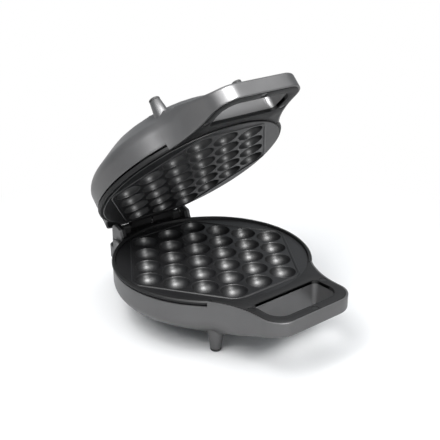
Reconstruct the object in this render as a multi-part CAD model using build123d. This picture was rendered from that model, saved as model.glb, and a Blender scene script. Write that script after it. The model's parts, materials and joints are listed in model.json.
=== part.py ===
from build123d import *
from math import atan, atan2, cos, degrees, hypot, pi, radians, sin, tan
import os

# Bubble waffle maker, millimetres, +Z up, hinge at +Y, handle at -Y.
# Each half is drawn lying open side up: its rim is at z = 0 and its depth goes down.
# The upper half is the mirror image, turned about the hinge axis to the opened pose.

# Cup pattern
cup_pitch = 30.0
row_pitch = 22.7
cups_in_rows = (3, 4, 5, 6, 5, 4, 3)
cup_radius = 12.4
cup_depth = 10.0
cup_bands = (0.0, 30.0, 58.0, 76.0)

# Flat sides on small round forms
cup_sides = 12
post_sides = 8
leg_sides = 16

# Round body
shell_radius = 96.2
shell_wall = 1.8
shell_top = -4.2
flank_top = -27.5
floor_radius = 62.5
floor_level = -50.0
flank_chamfer = 6.0
floor_chamfer = 4.5

# Frame ring and baking plate
half_gap = 0.2
ring_radius = 97.2
plate_radius = 93.6
plate_drop = 2.4
lip_thickness = 1.6
plate_body_radius = 90.3
plate_thickness = 5.0
pad_bottom = -15.6
fit_gap = 0.25
ledge_thickness = 2.0
tab_level = -12.5
skirt_thickness = 1.9
ridge_margin = 1.4
ridge_width = 2.4
ridge_height = 0.8
ridge_corner = 10.0

# Handle
handle_half_width = 49.0
handle_front = 145.6
handle_corner = 21.0
neck_rounding = 30.0
neck_lift = 5.0
deck_thickness = 3.5
deck_angle = 41.0
handle_wall_top = -0.5
handle_depth = 14.4
handle_knee = 132.0
handle_root = 50.0
handle_root_depth = 46.0
knee_rounding = 30.0
handle_edge_chamfer = 2.5
hole_half_width = 39.0
hole_back = 102.0
hole_front = 135.0
hole_front_corner = 15.0
hole_back_corner = 4.5
column_wall = 1.6

# Tail behind the hinge
tail_half_width = 48.0
tail_corner = 10.0
base_tail_end = 115.0
lid_tail_end = 117.0
tail_end_depth = 28.0
tail_root = 50.0
tail_root_depth = 43.5
tail_edge_chamfer = 2.0
base_tail_top = -14.5
lid_tail_top = -11.0
tail_step = 105.0
tail_cut_radius = 12.5

# Hinge
hinge_y = 102.2
hinge_height = 3.04
rest_opening = 44.26
pin_radius = 1.5
pin_clearance = 0.05
barrel_radius = 3.2
barrel_gap = 1.6
barrel_end = 27.0
knuckle_start = 27.6
knuckle_end = 36.0
ear_inner = 38.0
ear_outer = 45.0
ear_front = 90.8
ear_back = 108.6
ear_height = 8.8
pin_half_length = 42.0
shroud_radius = 13.2
shroud_wall = 1.6
shroud_rise = 8.5

# Feet
foot_x = 48.0
foot_y = 64.0
floor_drop = 58.5
foot_root_radius = 8.0
foot_tip_radius = 5.2
foot_pad_height = 2.2
foot_plug_radius = 2.5
foot_plug_depth = 5.0

# Screws
screw_radius = 1.5
screw_head_radius = 2.9
screw_head_height = 1.8
screw_gap = 0.1
handle_screw_length = 8.5
shell_screw_length = 11.5
shell_screw_x = 20.0
shell_screw_y = 97.0
shell_screw_seat = -29.0
head_recess_radius = 3.3
head_recess_depth = 2.2
post_radius = 3.4
plate_screw_radius = 86.0
plate_screw_angle = 33.5
tab_width = 12.0
tab_thickness = 2.5
boss_radius = 4.0

# Heater
element_radius = 3.2
element_half_length = 62.0
element_half_side = 34.0
element_half_height = 52.0
element_bend = 13.0
element_lead_x = 9.0
element_lead_end = 74.0
seat_gap = 0.2
clamp_width = 14.0
clamp_thickness = 1.2
clamp_half_length = 70.0
clamp_screw_x = 44.0
reflector_margin = -3.0
reflector_level = -27.0
reflector_wall = 0.8
reflector_rim = 6.0
post_ring_radius = 40.0
thermostat_radius = 7.5
thermostat_height = 7.5
thermostat_y = 22.0
fuse_radius = 3.0
fuse_length = 22.0
fuse_start_x = 15.0
fuse_y = 62.0

# Wiring parts
terminal_size = (30.0, 14.0, 11.0)
terminal_y = 95.0
terminal_floor = -29.4
terminal_bore = 2.0
gland_z = -20.4
gland_flange_radius = 4.6
gland_neck_radius = 3.7
gland_bore_radius = 2.8
gland_flange_thickness = 1.6
gland_neck_length = 6.0

# Signal lamps in the upper half
lamp_x = 9.0
lamp_y = -38.0
lamp_radius = 3.5
lamp_flange_radius = 4.5
lamp_flange_height = 1.0
lamp_length = 8.0
neon_radius = 2.4
neon_length = 12.0

rim_level = -half_gap
plate_level = rim_level - plate_drop
deep = 200.0


def prism(sketch, low, high):
    """The flat sketch as a solid between two levels."""
    return Pos(0, 0, low) * extrude(sketch, high - low)


def across(points, half_width):
    """A side view in Y and Z, drawn as a solid across X."""
    side = make_face(Polyline(*[(0, y, z) for y, z in points], close=True))
    return extrude(side, half_width, dir=(1, 0, 0), both=True)


def rod(radius, x_low, x_high, y, z):
    """A round bar along X."""
    return Pos((x_low + x_high) / 2, y, z) * Rot(0, 90, 0) * Cylinder(radius, x_high - x_low)


def upright(radius, x, y, low, high):
    """A round post along Z."""
    return Pos(x, y, (low + high) / 2) * Cylinder(radius, high - low)


def faceted(rings, sides):
    """A solid of flat faces through regular rings, each as (radius to a corner, level)."""
    turns = [2 * pi * (i + 0.5) / sides for i in range(sides)]
    loops = [[(r * cos(a), r * sin(a), z) for a in turns] for r, z in rings]
    faces = [Face(Wire.make_polygon(loop)) for loop in (loops[0], loops[-1])]
    for low, high in zip(loops, loops[1:]):
        faces += [Face(Wire.make_polygon([low[i - 1], low[i], high[i], high[i - 1]])) for i in range(sides)]
    return Solid(Shell(faces))


def post(radius, x, y, low, high):
    """A small eight-sided post, screw shank or hole along Z."""
    return Pos(x, y) * faceted([(radius, low), (radius, high)], post_sides)


def block(x_low, x_high, y_low, y_high, z_low, z_high):
    middle = ((x_low + x_high) / 2, (y_low + y_high) / 2, (z_low + z_high) / 2)
    return Pos(*middle) * Box(x_high - x_low, y_high - y_low, z_high - z_low)


def both_sides(shape):
    """The shape and its mirror image across X = 0."""
    return shape + mirror(shape, Plane.YZ)


# Shell


def bowl(inset, top):
    """The round body as a solid, drawn in by inset; only the outside has its edges broken."""
    slope = atan2(flank_top - floor_level, shell_radius - floor_radius)
    wall_end = flank_top + inset * tan(pi / 4 - slope / 2)
    floor_end = floor_radius - inset * tan(slope / 2)
    radius = shell_radius - inset
    corners = [(0, top), (radius, top), (radius, wall_end), (floor_end, floor_level + inset),
               (0, floor_level + inset)]
    side = make_face(Polyline(*corners, close=True))
    if inset == 0:
        side = chamfer(side.vertices().group_by(Axis.Y)[0].sort_by(Axis.X)[-1], floor_chamfer)
        side = chamfer(side.vertices().filter_by(lambda v: abs(v.Y - wall_end) < 0.01), flank_chamfer)
    return revolve(Plane.XZ * side, Axis.Z)


def tongue_plan(half_width, end, corner, inset):
    """Plan of a straight tongue from the centre out to y = end, its far corners rounded."""
    tongue = Pos(0, end / 2) * Rectangle(2 * half_width, abs(end))
    tongue = fillet([v for v in tongue.vertices() if abs(v.Y) > 1], corner)
    return offset(tongue, -inset) if inset else tongue


def neck_plan(half_width, end, corner, inset):
    """Plan of the body circle and its tongue, with rounded necks where they meet."""
    plan = Circle(shell_radius) + tongue_plan(half_width, end, corner, 0)
    meet = [v for v in plan.vertices() if abs(abs(v.X) - half_width) < 0.01 and abs(v.Y) < shell_radius]
    plan = fillet(meet, neck_rounding)
    return offset(plan, -inset) if inset else plan


def flared_bowl(inset, top):
    """Everything above a cone like the body's flank, lifted a little: the necks end on it."""
    slope = (flank_top - floor_level) / (shell_radius - floor_radius)
    low = floor_level + neck_lift + inset / cos(atan(slope))
    side = [(0, low), (floor_radius, low), (floor_radius + (top - low) / slope, top), (0, top)]
    return revolve(Plane.XZ * make_face(Polyline(*side, close=True)), Axis.Z)


def break_lower_edges(body, size, start):
    """Breaks the edges between the walls and the underside that lie beyond |y| = start."""
    walls = [e for f in body.faces() if abs(f.normal_at().Z) < 0.01 for e in f.edges()]
    floors = [e for f in body.faces() if f.normal_at().Z < -0.3 for e in f.edges()]
    lower = [e for e in floors if abs(e.center().Y) > start and any(e.is_same(w) for w in walls)]
    return chamfer(lower, size)


def deck_line():
    """Distance ahead of the centre where the ring's band gives way to the handle."""
    return shell_radius * cos(radians(deck_angle))


def handle_plan(inset):
    """Plan of the handle and its necks, ahead of the deck line."""
    front = Pos(0, -deck_line() - deep / 2) * Rectangle(deep * 2, deep)
    return neck_plan(handle_half_width, -handle_front, handle_corner, inset) & front


def hole_plan(margin):
    """Plan of the grip hole, grown by margin."""
    depth = hole_front - hole_back
    hole = Pos(0, -(hole_front + hole_back) / 2) * Rectangle(2 * hole_half_width, depth)
    front = hole.vertices().sort_by(Axis.Y)[:2]
    hole = fillet(front, hole_front_corner)
    back = [v for v in hole.vertices() if abs(v.Y + hole_back) < 0.01]
    hole = fillet(back, hole_back_corner)
    return offset(hole, margin) if margin else hole


def handle_pod(inset, top):
    """The handle as a solid: thin at the front and deeper towards the body."""
    low_top = min(top, shell_top) if inset == 0 else top
    side = [(-handle_root, low_top), (-deck_line(), low_top), (-deck_line(), top), (-handle_front - 1, top),
            (-handle_front - 1, -handle_depth + inset), (-handle_knee, -handle_depth + inset),
            (-handle_root, -handle_root_depth + inset)]
    side = [p for i, p in enumerate(side) if i == 0 or p != side[i - 1]]
    ramp = across(side, deep / 2)
    if inset == 0:
        knee = ramp.edges().filter_by(Axis.X).sort_by_distance((0, -handle_knee, -handle_depth))[0]
        ramp = fillet(knee, knee_rounding)
    core = prism(tongue_plan(handle_half_width, -handle_front, handle_corner, inset), -deep / 2, top) & ramp
    if inset == 0:
        core = break_lower_edges(core, handle_edge_chamfer, handle_root + 1)
    return core + (prism(handle_plan(inset), -deep / 2, top) & flared_bowl(inset, top))


def tail_side(end, inset, top, is_lid):
    """Side view of the tail; the lower one steps down, the upper one arches over the hinge."""
    floor = [(end + 1, -tail_end_depth + inset), (tail_root, -tail_root_depth + inset)]
    if inset:
        return across([(tail_root, top), (end + 1, top)] + floor, deep / 2)
    step = tail_step if is_lid else tail_step - 3
    side = across([(tail_root, shell_top), (step, shell_top), (tail_step + 0.1, top), (end + 1, top)] + floor,
                  deep / 2)
    if is_lid:
        side -= rod(tail_cut_radius, -deep / 2, deep / 2, hinge_y, -hinge_height)
    return side


def tail_pod(end, inset, top, is_lid):
    """The housing behind the hinge with its necks, a rounded box that merges into the bowl."""
    side = tail_side(end, inset, top, is_lid)
    core = prism(tongue_plan(tail_half_width, end, tail_corner, inset), -deep / 2, deep / 2) & side
    if inset == 0:
        core = break_lower_edges(core, tail_edge_chamfer, tail_root + 1)
    rear = Pos(0, tail_root + deep / 2) * Rectangle(deep * 2, deep)
    necks = neck_plan(tail_half_width, end, tail_corner, inset) & rear
    return core + (prism(necks, -deep / 2, deep / 2) & side & flared_bowl(inset, max(top, shell_top)))


def foot_places():
    return [(x, y) for x in (-foot_x, foot_x) for y in (-foot_y, foot_y)]


def handle_screw_places():
    """Screws at the grip's two rear corners and the middle of its front bar."""
    side = (hole_half_width + handle_half_width) / 2
    front = (hole_front + handle_front) / 2
    return [(-side, -hole_back - 5.0), (side, -hole_back - 5.0), (0.0, -front)]


def shell_screw_places():
    return [(-shell_screw_x, shell_screw_y), (shell_screw_x, shell_screw_y)]


def shell(is_lid):
    """Painted casing: round bowl, handle underside with its grip hole, tail, legs and posts."""
    end, tail_top = (lid_tail_end, lid_tail_top) if is_lid else (base_tail_end, base_tail_top)
    outside = bowl(0, shell_top) + handle_pod(0, handle_wall_top) + tail_pod(end, 0, tail_top, is_lid)
    inside = bowl(shell_wall, 10) + handle_pod(shell_wall, 10) + tail_pod(end, shell_wall, 10, is_lid)
    legs = [Pos(x, y, -floor_drop + foot_pad_height) * foot_cone() for x, y in foot_places()]
    envelope = outside
    outside = outside + legs
    post_top = rim_level - deck_thickness - seat_gap
    posts = prism(hole_plan(column_wall), -deep / 2, post_top)
    for x, y in handle_screw_places():
        posts += post(post_radius, x, y, -deep / 2, post_top)
    for x, y in shell_screw_places():
        posts += post(post_radius + 1.2, x, y, -deep / 2, shell_screw_seat + 3.0)
    w, d, _ = terminal_size
    posts += block(-w / 2, w / 2, terminal_y - d / 2, terminal_y + d / 2, -deep / 2, terminal_floor)
    body = (outside - inside) + (posts & envelope)
    holes = [prism(hole_plan(0), -deep / 2, deep / 2)]
    for x, y in handle_screw_places():
        holes.append(post(screw_radius + screw_gap, x, y, post_top - handle_screw_length, 0))
    for x, y in shell_screw_places():
        holes.append(post(screw_radius + screw_gap, x, y, -deep / 2, 0))
        holes.append(post(head_recess_radius, x, y, -deep / 2, shell_screw_seat))
    for x, y in foot_places():
        plug_top = -floor_drop + foot_pad_height + foot_plug_depth + seat_gap
        holes.append(post(foot_plug_radius + screw_gap, x, y, -deep / 2, plug_top))
    if is_lid:
        holes += [lamp_hole(x) for x in (-lamp_x, lamp_x)]
        return body - holes
    return (body + both_sides(ear())) - (holes + [gland_hole()])


def foot_cone():
    """A tapered leg, long enough to reach into the body."""
    length = 26.0
    spread = (foot_root_radius - foot_tip_radius) / 20.0 * length
    return faceted([(foot_tip_radius, 0), (foot_tip_radius + spread, length)], leg_sides)


def ear_side():
    """Side view of the ear that hides the hinge's end."""
    legs = [(ear_front, -tail_end_depth), (ear_front, -2.0), (ear_front + 5.0, ear_height - 2.0),
            (hinge_y + 1.0, ear_height), (ear_back, ear_height - 4.0), (ear_back, -tail_end_depth)]
    return make_face(Polyline(*[(0, y, z) for y, z in legs], close=True))


def ear():
    """One ear on the +X side with the tongue that ties it to the tail's side wall."""
    top = Pos(ear_inner, 0, 0) * extrude(ear_side(), ear_outer - ear_inner, dir=(1, 0, 0))
    rounded = [e for e in top.edges().filter_by(Axis.X) if e.center().Z > -5]
    top = fillet(rounded, 3.0)
    tie = block(ear_outer - 1, tail_half_width - shell_wall / 2, ear_front + 2, ear_back - 2,
                -tail_end_depth, base_tail_top - 1)
    socket = rod(pin_radius + pin_clearance, ear_inner - 1, pin_half_length + 0.3, hinge_y, hinge_height)
    return top + tie - socket


# Frame


def spigot_radius():
    """Outer radius of what fits inside the shell's wall."""
    return shell_radius - shell_wall - fit_gap


def frame_ring():
    """Rim that the plate sits in, let into the shell's wall."""
    inner = plate_radius + fit_gap
    ledge_inner = plate_body_radius + 2 * fit_gap
    ledge_top = plate_level - lip_thickness - seat_gap
    section = [(inner, ledge_top), (inner, rim_level), (ring_radius - 1.1, rim_level),
               (ring_radius, rim_level - 1.2), (ring_radius, shell_top + 0.4),
               (spigot_radius(), shell_top + 0.4), (spigot_radius(), ledge_top - ledge_thickness),
               (ledge_inner, ledge_top - ledge_thickness), (ledge_inner, ledge_top)]
    ring = revolve(Plane.XZ * make_face(Polyline(*section, close=True)), Axis.Z)
    front = Pos(0, fit_gap - deck_line() - deep / 2) * Rectangle(deep * 2, deep) - Circle(spigot_radius())
    return ring - prism(front, -deep / 2, deep / 2)


def frame_deck():
    """Flat handle cover inside the shell's handle wall, with the grip hole and screw recesses."""
    plan = handle_plan(shell_wall + fit_gap) - Circle(plate_radius + fit_gap) - hole_plan(0)
    deck = prism(plan, rim_level - deck_thickness, rim_level)
    for x, y in handle_screw_places():
        deck -= post(head_recess_radius, x, y, rim_level - head_recess_depth, 1)
        deck -= post(screw_radius + screw_gap, x, y, -deep / 4, 1)
    return deck


def plate_screw_places():
    a = radians(plate_screw_angle)
    x, y = plate_screw_radius * cos(a), plate_screw_radius * sin(a)
    return [(sx * x, sy * y) for sx in (-1, 1) for sy in (-1, 1)]


def frame_tabs():
    """Brackets that hang from the ledge and reach under the plate to its screws."""
    reach = spigot_radius() - 0.5 - (plate_screw_radius - tab_width / 2)
    arm = block(spigot_radius() - 0.5 - reach, spigot_radius() - 0.5, -tab_width / 2, tab_width / 2,
                tab_level, tab_level + tab_thickness)
    leg = block(spigot_radius() - 0.5 - tab_thickness, spigot_radius() - 0.5, -tab_width / 2, tab_width / 2,
                tab_level, plate_level - lip_thickness - seat_gap - 1)
    tabs = [Rot(0, 0, degrees(atan2(y, x))) * (arm + leg) for x, y in plate_screw_places()]
    holes = [post(screw_radius + screw_gap, x, y, -deep / 4, 0) for x, y in plate_screw_places()]
    return Part() + tabs - holes


def barrel(x_low, x_high, z):
    return rod(barrel_radius, x_low, x_high, hinge_y, z)


def pin_bore(z):
    return rod(pin_radius + pin_clearance, -pin_half_length - 5, pin_half_length + 5, hinge_y, z)


def base_hinge_seat():
    """Platform behind the rim, its two end knuckles and the cover down to the tail."""
    reach = ear_inner - 1.0
    front = shell_radius - 8.0
    top = -2.4
    back = tail_step + 2.0
    end = base_tail_end - shell_wall - fit_gap
    cover_top = base_tail_top
    side = [(front, top - 2.5), (front, top), (back - 1.0, top), (back, top - 1.0), (back, cover_top),
            (end, cover_top), (end, cover_top - 1.6), (back - 1.8, cover_top - 1.6), (back - 1.8, top - 2.5)]
    seat = across(side, reach) - upright(plate_radius + fit_gap, 0, 0, -deep / 4, 5)
    knuckle = barrel(knuckle_start, knuckle_end, hinge_height)
    knuckle += block(knuckle_start, knuckle_end, hinge_y - barrel_radius, hinge_y + barrel_radius,
                     top - 1, hinge_height)
    seat += both_sides(knuckle)
    seat += shell_screw_posts(top - 2.5)
    return seat - pin_bore(hinge_height)


def shell_screw_posts(top):
    """Two posts that the casing's rear screws go up into."""
    low = shell_screw_seat + 3.0 + seat_gap
    posts = [post(post_radius, x, y, low, top) for x, y in shell_screw_places()]
    bores = [post(screw_radius + screw_gap, x, y, low, low + shell_screw_length)
             for x, y in shell_screw_places()]
    return (posts[0] + posts[1]) - bores


def lid_hinge_seat():
    """Two long barrels on webs behind the rim and the curved shroud that clears the lower ears."""
    axis = -hinge_height
    web = block(barrel_gap / 2, barrel_end, shell_radius - 8.0, hinge_y, axis - barrel_radius + 0.3,
                rim_level - 0.4)
    web -= upright(plate_radius + fit_gap, 0, 0, -deep / 4, 5)
    seat = both_sides(web + barrel(barrel_gap / 2, barrel_end, axis))
    front = spigot_radius() - 3.0
    plan = neck_plan(tail_half_width, lid_tail_end, tail_corner, shell_wall + fit_gap)
    room = prism(plan, -deep / 4, axis - shroud_rise)
    reach = tail_half_width - shell_wall - fit_gap
    room &= block(-reach, reach, front, lid_tail_end, -deep / 4, axis)
    shroud = rod(shroud_radius + shroud_wall, -deep / 2, deep / 2, hinge_y, axis)
    shroud += block(-deep / 2, deep / 2, front, hinge_y - 8.0, tab_level, tab_level + tab_thickness)
    shroud = (shroud & room) + shell_screw_posts(axis - shroud_radius)
    shroud -= rod(shroud_radius, -deep / 2, deep / 2, hinge_y, axis)
    skirt = Circle(spigot_radius()) - Circle(spigot_radius() - skirt_thickness)
    skirt &= Pos(0, shell_radius) * Rectangle(2 * reach, shell_radius)
    shroud += prism(skirt, tab_level, plate_level - lip_thickness - seat_gap - 1)
    return seat - pin_bore(axis), shroud


def frame(is_lid):
    body = frame_ring() + frame_deck() + frame_tabs()
    if is_lid:
        seat, shroud = lid_hinge_seat()
        return body + seat + shroud
    body += base_hinge_seat()
    clear = block(ear_inner - 0.4, ear_outer + 0.4, ear_front - 0.4, ear_back + 10, -deep / 4, 20)
    return body - both_sides(clear)


# Baking plate


def cup_places():
    rows = len(cups_in_rows)
    places = []
    for row, count in enumerate(cups_in_rows):
        y = ((rows - 1) / 2 - row) * row_pitch
        places += [((i - (count - 1) / 2) * cup_pitch, y) for i in range(count)]
    return places


def cup():
    """One cup as a many-sided bowl, open at z = 0."""
    bands = [radians(angle) for angle in cup_bands]
    return faceted([(cup_radius * cos(a), -cup_depth * sin(a)) for a in bands], cup_sides)


def hexagon(margin, corner):
    """Rounded six-sided plan round all the cups, margin outside them."""
    half_rows = (len(cups_in_rows) - 1) / 2
    flat = half_rows * row_pitch + cup_radius + margin
    length = hypot(row_pitch, cup_pitch / 2)
    nx, ny = row_pitch / length, cup_pitch / 2 / length
    side = (max(cups_in_rows) - 1) / 2 * cup_pitch * nx + cup_radius + margin
    tip = side / nx
    shoulder = (side - flat * ny) / nx
    points = [(tip, 0), (shoulder, flat), (-shoulder, flat)]
    points += [(-x, -y) for x, y in points]
    plan = make_face(Polyline(*points, close=True))
    return fillet(plan.vertices(), corner)


def plate_bosses():
    return [post(boss_radius, x, y, tab_level + tab_thickness + seat_gap, plate_level - 2)
            for x, y in plate_screw_places()]


def reflector_posts():
    angles = (90, 210, 330)
    return [(post_ring_radius * cos(radians(a)), post_ring_radius * sin(radians(a))) for a in angles]


def baking_plate():
    body_low = plate_level - plate_thickness
    plate = upright(plate_radius, 0, 0, plate_level - lip_thickness, plate_level)
    plate += upright(plate_body_radius, 0, 0, body_low, plate_level - lip_thickness)
    plate += prism(hexagon(0.2, ridge_corner), pad_bottom, body_low)
    band = hexagon(ridge_margin + ridge_width, ridge_corner + ridge_width)
    band -= hexagon(ridge_margin, ridge_corner)
    plate += prism(band, plate_level, plate_level + ridge_height)
    for boss in plate_bosses():
        plate += boss
    for x, y in reflector_posts():
        plate += post(boss_radius, x, y, reflector_level + reflector_wall + seat_gap, pad_bottom)
    for x, y in clamp_screw_places():
        plate += post(boss_radius, x, y, clamp_level() + seat_gap, pad_bottom)
    tool = cup()
    cups = [Pos(x, y, plate_level) * tool for x, y in cup_places()]
    plate -= cups
    for x, y in plate_screw_places():
        plate -= post(screw_radius + screw_gap, x, y, -deep / 4, plate_level - 1.4)
    for x, y in reflector_posts() + clamp_screw_places():
        plate -= post(screw_radius + screw_gap, x, y, -deep / 4, pad_bottom)
    return plate


# Heater and fixings


def element_level():
    return pad_bottom - seat_gap - element_radius


def heating_element():
    """Flat-sided tube bent to follow the six-sided cup field, its two ends towards the hinge."""
    x, side, h, end = element_half_length, element_half_side, element_half_height, element_lead_end
    a = element_lead_x
    points = [(-a, end), (-a, h), (-side, h), (-x, 0), (-side, -h)]
    points += [(-px, py) for px, py in reversed(points)]
    small = element_bend * 0.7
    path = FilletPolyline(*points, radius=[small] + [element_bend] * 6 + [small])
    plan = trace(path, 2 * element_radius)
    return prism(plan, element_level() - element_radius, element_level() + element_radius)


def clamp_level():
    """Upper face of the strap under the tube."""
    return element_level() - element_radius - seat_gap


def clamp_screw_places():
    return [(-clamp_screw_x, 0.0), (clamp_screw_x, 0.0)]


def element_clamp():
    """Sheet strap that holds the tube against the plate."""
    high = clamp_level()
    low = high - clamp_thickness
    strap = block(-clamp_half_length, clamp_half_length, -clamp_width / 2, clamp_width / 2, low, high)
    for x, y in clamp_screw_places():
        strap -= post(screw_radius + screw_gap, x, y, -deep / 4, 0)
    return strap


def reflector():
    """Shallow six-sided sheet pan under the heater."""
    low, high = reflector_level, reflector_level + reflector_wall
    pan = prism(hexagon(reflector_margin, ridge_corner), low, high + reflector_rim)
    pan -= prism(hexagon(reflector_margin - reflector_wall, ridge_corner - reflector_wall), high, 0)
    for x, y in reflector_posts():
        pan -= post(screw_radius + screw_gap, x, y, -deep / 4, 0)
    return pan


def thermostat():
    high = pad_bottom - seat_gap
    disc = faceted([(thermostat_radius, high - thermostat_height), (thermostat_radius, high)], cup_sides)
    return Pos(0, thermostat_y) * disc


def thermal_fuse():
    level = pad_bottom - seat_gap - fuse_radius
    sleeve = faceted([(fuse_radius, 0), (fuse_radius, fuse_length)], post_sides)
    return Pos(fuse_start_x, fuse_y, level) * Rot(0, 90, 0) * sleeve


def terminal_block():
    w, d, h = terminal_size
    body = Pos(0, terminal_y, terminal_floor + h / 2) * Box(w, d, h)
    for x in (-w / 3, 0, w / 3):
        way = faceted([(terminal_bore, -d), (terminal_bore, d)], post_sides)
        body -= Pos(x, terminal_y, terminal_floor + h / 2) * Rot(90, 0, 0) * way
    return body


def screw(x, y, seat, length, up, head):
    """A screw: seat is the face under its head, up the way its head points."""
    body = extrude(head, screw_head_height) + post(screw_radius, 0, 0, -length, 0)
    if not up:
        body = Rot(180, 0, 0) * body
    return Pos(x, y, seat) * body


def hex_head():
    return RegularPolygon(screw_head_radius, 6)


def plate_screws():
    seat = tab_level - 0.05
    return [screw(x, y, seat, plate_level - 2 - seat, False, hex_head()) for x, y in plate_screw_places()]


def handle_screws():
    seat = rim_level - head_recess_depth + 0.05
    head = RegularPolygon(screw_head_radius, cup_sides)
    return [screw(x, y, seat, handle_screw_length, True, head) for x, y in handle_screw_places()]


def shell_screws():
    seat = shell_screw_seat - 0.05
    return [screw(x, y, seat, shell_screw_length, False, hex_head()) for x, y in shell_screw_places()]


def reflector_screws():
    seat = reflector_level - 0.05
    return [screw(x, y, seat, pad_bottom - 0.4 - seat, False, hex_head()) for x, y in reflector_posts()]


def clamp_screws():
    seat = clamp_level() - clamp_thickness - 0.05
    return [screw(x, y, seat, pad_bottom - 0.4 - seat, False, hex_head()) for x, y in clamp_screw_places()]


def foot_pads():
    """Rubber tips with a plug that goes up into each leg."""
    low = -floor_drop
    high = low + foot_pad_height
    rings = [(foot_tip_radius - 0.6, low), (foot_tip_radius, low + 0.6), (foot_tip_radius, high - 0.02)]
    pad = faceted(rings, leg_sides)
    pad += post(foot_plug_radius, 0, 0, low + 0.5, high + foot_plug_depth)
    return [Pos(x, y) * pad for x, y in foot_places()]


def cord_gland():
    """Rubber bush in the tail's rear wall, with its bore for a lead."""
    flange, length = gland_flange_thickness, gland_neck_length
    bush = faceted([(gland_flange_radius, 0.05), (gland_flange_radius, flange + 0.05)], leg_sides)
    bush += faceted([(gland_neck_radius, flange - length), (gland_neck_radius, flange)], leg_sides)
    bush -= faceted([(gland_bore_radius, -length), (gland_bore_radius, 2 * flange)], leg_sides)
    return gland_place() * bush


def gland_place():
    """On the tail's rear wall, with Z pointing out of the housing."""
    return Pos(0, base_tail_end, gland_z) * Rot(-90, 0, 0)


def gland_hole():
    radius = gland_neck_radius + 0.05
    return gland_place() * faceted([(radius, -2 * shell_wall), (radius, 2 * shell_wall)], leg_sides)


def hinge_pin():
    return rod(pin_radius, -pin_half_length, pin_half_length, hinge_y, hinge_height)


def lamp_lens(x):
    """Round coloured lens in the upper half's flat top."""
    seat = floor_level - 0.05
    flange = faceted([(lamp_flange_radius, seat - lamp_flange_height), (lamp_flange_radius, seat)], leg_sides)
    stem = faceted([(lamp_radius, seat), (lamp_radius, seat + lamp_length)], leg_sides)
    return Pos(x, lamp_y) * (flange + stem)


def lamp_hole(x):
    radius = lamp_radius + 0.1
    span = 2 * shell_wall
    return Pos(x, lamp_y, floor_level) * faceted([(radius, -span), (radius, span)], leg_sides)


def neon_lamp(x):
    low = floor_level + lamp_length + 0.15
    return post(neon_radius, x, lamp_y, low, low + neon_length)


# Assembly


def shared_pieces():
    """Pieces that are the same in both halves, by plain name."""
    return {
        "baking_plate": baking_plate(),
        "heating_element": heating_element(),
        "element_clamp": element_clamp(),
        "reflector": reflector(),
        "thermostat": thermostat(),
        "terminal_block": terminal_block(),
        "plate_screws": Compound(children=plate_screws()),
        "handle_screws": Compound(children=handle_screws()),
        "shell_screws": Compound(children=shell_screws()),
        "reflector_screws": Compound(children=reflector_screws()),
        "clamp_screws": Compound(children=clamp_screws()),
        "foot_pads": Compound(children=foot_pads()),
    }


def opened(shape):
    """An upper piece, drawn as a lower one, mirrored and turned open about the hinge."""
    axis = Axis((0, hinge_y, hinge_height), (-1, 0, 0))
    return mirror(shape, Plane.XY).rotate(axis, rest_opening)


shared = shared_pieces()
lower = {"shell": shell(False), "frame": frame(False), "thermal_fuse": thermal_fuse(), **shared}
upper = {"shell": shell(True), "frame": frame(True), **shared}
upper["power_lamp"] = lamp_lens(-lamp_x)
upper["ready_lamp"] = lamp_lens(lamp_x)
upper["neon_lamps"] = Compound(children=[neon_lamp(-lamp_x), neon_lamp(lamp_x)])
nodes = {"base_" + name: shape for name, shape in lower.items()}
nodes.update({"lid_" + name: opened(shape) for name, shape in upper.items()})
nodes["cord_gland"] = cord_gland()
nodes["hinge_pin"] = hinge_pin()

# The frame's origin is at the middle of the whole opened object's box, on the floor.
boxes = [shape.bounding_box() for shape in nodes.values()]
middle_y = (min(b.min.Y for b in boxes) + max(b.max.Y for b in boxes)) / 2
shift = Location((0, -middle_y, floor_drop))
print("plate centre y", round(-middle_y, 4), "rim level", round(floor_drop, 4))
print("hinge axis y", round(hinge_y - middle_y, 4), "z", round(hinge_height + floor_drop, 4))

os.makedirs("parts", exist_ok=True)
for name, shape in nodes.items():
    export_step(shape.moved(shift), f"parts/{name}.step")
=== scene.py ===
import json
import math

import bmesh
import bpy
from mathutils import Matrix, Vector
from mathutils.geometry import delaunay_2d_cdt

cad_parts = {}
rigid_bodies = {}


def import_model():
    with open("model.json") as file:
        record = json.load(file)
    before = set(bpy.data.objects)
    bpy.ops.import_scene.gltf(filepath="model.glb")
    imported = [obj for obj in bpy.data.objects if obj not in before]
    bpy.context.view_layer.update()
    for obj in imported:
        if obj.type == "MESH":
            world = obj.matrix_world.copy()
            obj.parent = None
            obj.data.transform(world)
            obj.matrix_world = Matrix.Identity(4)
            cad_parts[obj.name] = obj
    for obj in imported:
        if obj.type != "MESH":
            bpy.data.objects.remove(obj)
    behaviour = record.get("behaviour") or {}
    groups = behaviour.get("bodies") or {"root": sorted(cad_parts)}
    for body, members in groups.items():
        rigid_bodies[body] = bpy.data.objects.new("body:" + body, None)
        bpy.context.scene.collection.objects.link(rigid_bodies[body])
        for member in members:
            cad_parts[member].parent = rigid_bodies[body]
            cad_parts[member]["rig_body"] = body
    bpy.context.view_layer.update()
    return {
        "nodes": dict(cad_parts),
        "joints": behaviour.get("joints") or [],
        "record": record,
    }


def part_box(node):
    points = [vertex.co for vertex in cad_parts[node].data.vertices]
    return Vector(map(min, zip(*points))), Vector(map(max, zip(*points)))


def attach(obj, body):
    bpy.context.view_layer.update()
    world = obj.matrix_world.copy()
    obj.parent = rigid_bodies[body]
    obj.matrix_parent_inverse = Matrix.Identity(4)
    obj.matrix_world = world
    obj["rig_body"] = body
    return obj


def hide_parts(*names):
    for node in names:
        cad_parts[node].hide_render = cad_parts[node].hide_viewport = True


# Bubble waffle maker, metres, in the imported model's frame.
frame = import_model()

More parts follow.
